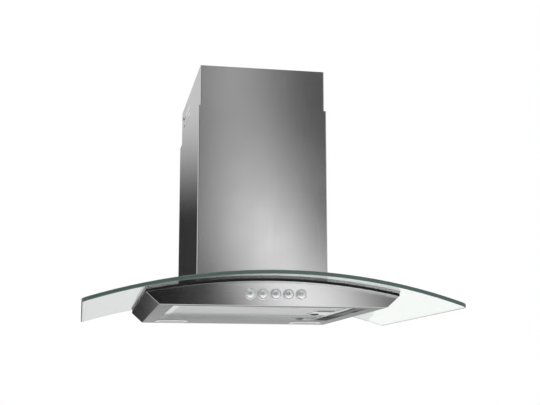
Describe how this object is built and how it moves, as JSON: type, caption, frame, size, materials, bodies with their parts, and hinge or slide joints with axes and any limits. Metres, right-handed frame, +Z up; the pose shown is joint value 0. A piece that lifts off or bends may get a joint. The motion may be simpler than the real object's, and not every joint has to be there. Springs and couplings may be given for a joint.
{
  "type": "curved glass range hood",
  "caption": "Wall-mounted range hood with an arched glass canopy, push-button fascia, drop-down grease filter, ducted blower and telescopic steel chimney.",
  "frame": {"origin": "middle of the four wall screws, in the plane of the wall", "axes": "+X to the right seen from the front, +Y into the wall, +Z up"},
  "size_m": [0.6, 0.505, 0.4266],
  "materials": {
    "float_glass": "clear, polished edges",
    "seal_rubber": "matt",
    "stainless_sheet": "vertical brushed grain",
    "fascia_steel": "fine brushed grain",
    "zinc_steel": "galvanised",
    "screw_steel": "bright zinc",
    "filter_aluminium": "plain expanded metal",
    "black_plastic": "fine grain",
    "button_chrome": "satin chrome",
    "board_laminate": "green laminate",
    "lamp_metal": "satin",
    "lamp_glass": "frosted",
    "white_plastic": "plain moulded",
    "grey_plastic": "plain moulded",
    "motor_enamel": "black enamel",
    "capacitor_case": "gloss"
  },
  "bodies": {
    "hood": {"glass_canopy": "float_glass", "glass_gasket": "seal_rubber", "glass_washers": "seal_rubber", "canopy_body": "stainless_sheet", "filter_tray": "stainless_sheet", "lower_chimney": "stainless_sheet", "front_fascia": "fascia_steel", "blower_box": "zinc_steel", "wall_plate": "zinc_steel", "motor_bracket": "zinc_steel", "chimney_feet": "zinc_steel", "filter_hooks": "zinc_steel", "outlet_plate": "zinc_steel", "glass_screws": "screw_steel", "switch_screws": "screw_steel", "chimney_screws": "screw_steel", "damper_pin": "screw_steel", "switch_housing": "black_plastic", "switch_blocks": "black_plastic", "button_bezels": "button_chrome", "switch_board": "board_laminate", "lamp_boards": "board_laminate", "lamp_cans": "lamp_metal", "lamp_bezels": "lamp_metal", "lamp_lenses": "lamp_glass", "lamp_driver": "white_plastic", "junction_box": "white_plastic", "junction_cover": "white_plastic", "scroll_casing": "white_plastic", "outlet_collar": "grey_plastic", "cable_gland": "grey_plastic", "blower_motor": "motor_enamel", "run_capacitor": "capacitor_case"},
    "upper_cover": {"upper_chimney": "stainless_sheet", "upper_bracket": "zinc_steel", "bracket_screws": "screw_steel"},
    "impeller": {"impeller_blades": "grey_plastic", "impeller_rings": "grey_plastic", "impeller_hub": "grey_plastic", "motor_shaft": "screw_steel"},
    "front_flap": {"front_flap": "grey_plastic"},
    "rear_flap": {"rear_flap": "grey_plastic"},
    "grease_filter": {"filter_frame": "filter_aluminium", "filter_mesh": "filter_aluminium", "latch_housing": "filter_aluminium"},
    "filter_latch": {"filter_latch": "black_plastic"},
    "button_1": {"push_button_1": "button_chrome"},
    "button_2": {"push_button_2": "button_chrome"},
    "button_3": {"push_button_3": "button_chrome"},
    "button_4": {"push_button_4": "button_chrome"},
    "button_5": {"push_button_5": "button_chrome"}
  },
  "joints": [
    {"name": "upper_cover_slide", "type": "slide", "parent": "hood", "child": "upper_cover", "axis": [0, 0, 1], "range_m": [-0.04, 0.19]},
    {"name": "impeller_spin", "type": "hinge", "parent": "hood", "child": "impeller", "pos_m": [0, -0.145, -0.01], "axis": [1, 0, 0], "continuous": true},
    {"name": "front_flap_swing", "type": "hinge", "parent": "hood", "child": "front_flap", "pos_m": [0, -0.0895, 0.132], "axis": [-1, 0, 0], "range_deg": [0, 75]},
    {"name": "rear_flap_swing", "type": "hinge", "parent": "hood", "child": "rear_flap", "pos_m": [0, -0.0895, 0.132], "axis": [1, 0, 0], "range_deg": [0, 75]},
    {"name": "filter_drop", "type": "hinge", "parent": "hood", "child": "grease_filter", "pos_m": [-0.1545, -0.268, -0.161], "axis": [0, 1, 0], "range_deg": [0, 60]},
    {"name": "filter_latch_slide", "type": "slide", "parent": "grease_filter", "child": "filter_latch", "axis": [-1, 0, 0], "range_m": [0, 0.006], "stiffness_N_per_m": 300, "springref_m": -0.004},
    {"name": "button_press_1", "type": "slide", "parent": "hood", "child": "button_1", "axis": [0, 1, 0], "range_m": [0, 0.0025], "stiffness_N_per_m": 700, "springref_m": -0.002},
    {"name": "button_press_2", "type": "slide", "parent": "hood", "child": "button_2", "axis": [0, 1, 0], "range_m": [0, 0.0025], "stiffness_N_per_m": 700, "springref_m": -0.002},
    {"name": "button_press_3", "type": "slide", "parent": "hood", "child": "button_3", "axis": [0, 1, 0], "range_m": [0, 0.0025], "stiffness_N_per_m": 700, "springref_m": -0.002},
    {"name": "button_press_4", "type": "slide", "parent": "hood", "child": "button_4", "axis": [0, 1, 0], "range_m": [0, 0.0025], "stiffness_N_per_m": 700, "springref_m": -0.002},
    {"name": "button_press_5", "type": "slide", "parent": "hood", "child": "button_5", "axis": [0, 1, 0], "range_m": [0, 0.0025], "stiffness_N_per_m": 700, "springref_m": -0.002}
  ]
}
